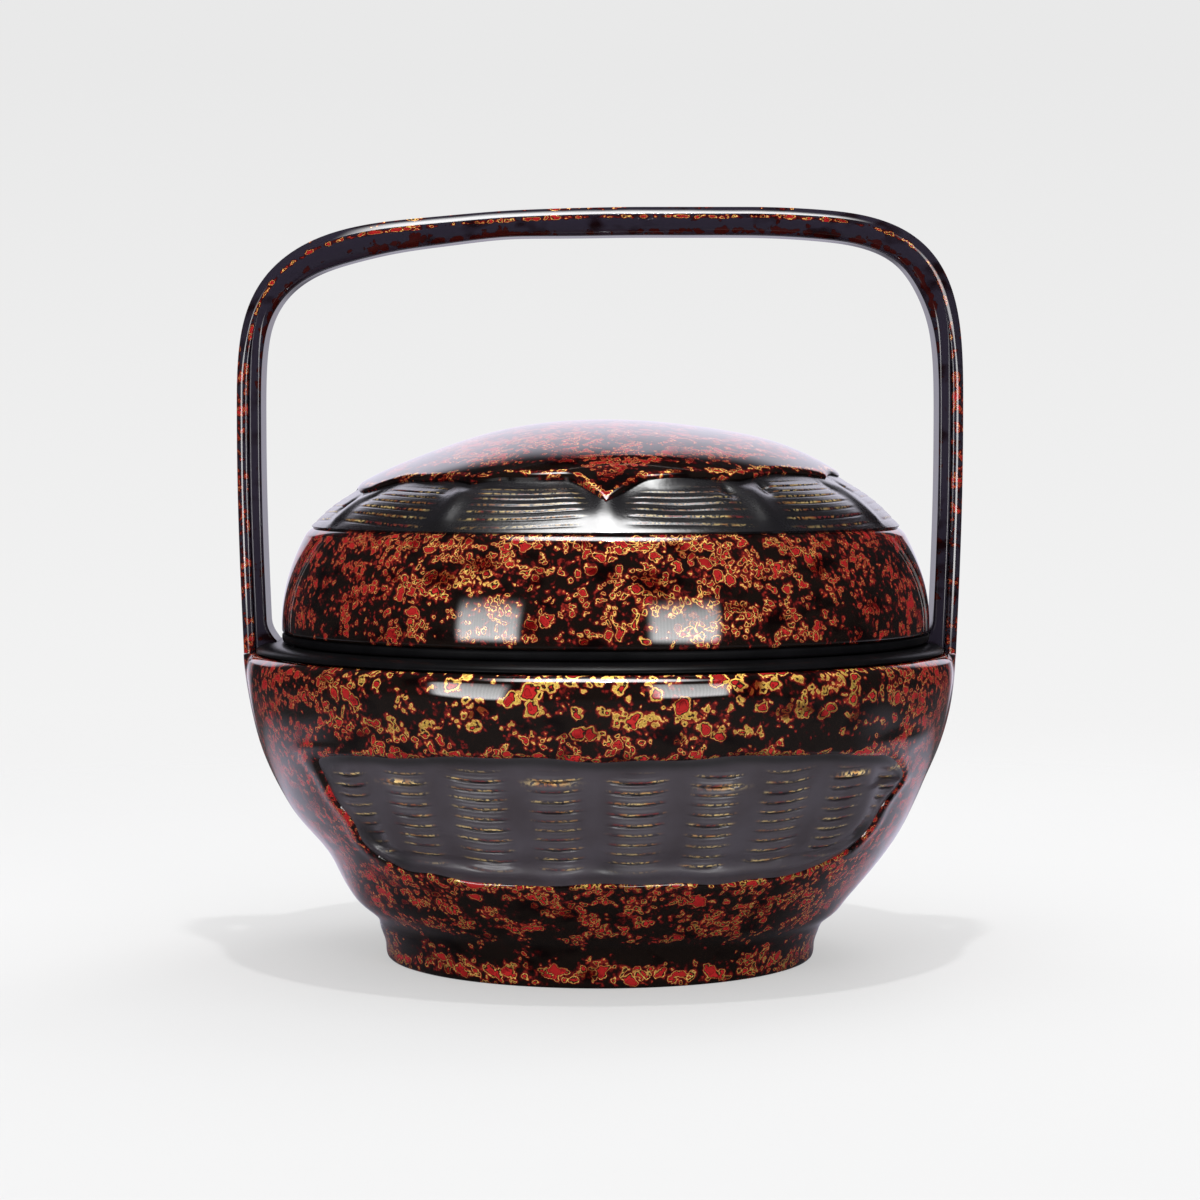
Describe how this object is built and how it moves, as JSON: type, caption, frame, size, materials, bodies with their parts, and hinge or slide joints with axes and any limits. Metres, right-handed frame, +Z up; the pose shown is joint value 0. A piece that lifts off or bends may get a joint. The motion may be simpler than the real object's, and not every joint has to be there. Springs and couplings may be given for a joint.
{
  "type": "lidded lacquer basket",
  "caption": "Round lidded hand basket of woven bamboo under marbled lacquer, with a foot ring, a lift-off domed lid and a fixed arched flat handle.",
  "frame": {"origin": "middle of the foot ring's underside, on the table", "axes": "+Z up, +X towards the handle's right leg, -Y towards the front window"},
  "size_m": [0.2468, 0.2416, 0.2548],
  "materials": {
    "marbled_lacquer": "polished lacquer marbled in red and gold over black",
    "black_lacquer": "polished black lacquer",
    "woven_bamboo": "satin black lacquer over woven bamboo, with gold in the gaps",
    "lining_lacquer": "satin brown-black lacquer",
    "bare_bamboo": "plain split bamboo"
  },
  "bodies": {
    "basket": {"foot_ring": "marbled_lacquer", "base_board": "black_lacquer", "woven_bowl": "woven_bamboo", "bowl_lining": "lining_lacquer", "bowl_lacquer": "marbled_lacquer", "rim_ring": "black_lacquer", "inner_hoop": "black_lacquer", "handle_outer_strip": "marbled_lacquer", "handle_inner_strip": "black_lacquer", "peg_left_upper": "bare_bamboo", "peg_left_lower": "bare_bamboo", "peg_right_upper": "bare_bamboo", "peg_right_lower": "bare_bamboo"},
    "lid": {"lid_weave": "woven_bamboo", "lid_lining": "lining_lacquer", "lid_side_lacquer": "marbled_lacquer", "lid_crown_lacquer": "marbled_lacquer", "lid_rim_hoop": "black_lacquer", "lid_collar": "black_lacquer"}
  },
  "joints": [
    {"name": "lid_lift", "type": "slide", "parent": "basket", "child": "lid", "axis": [0, 0, 1], "range_m": [0, 0.06]}
  ]
}
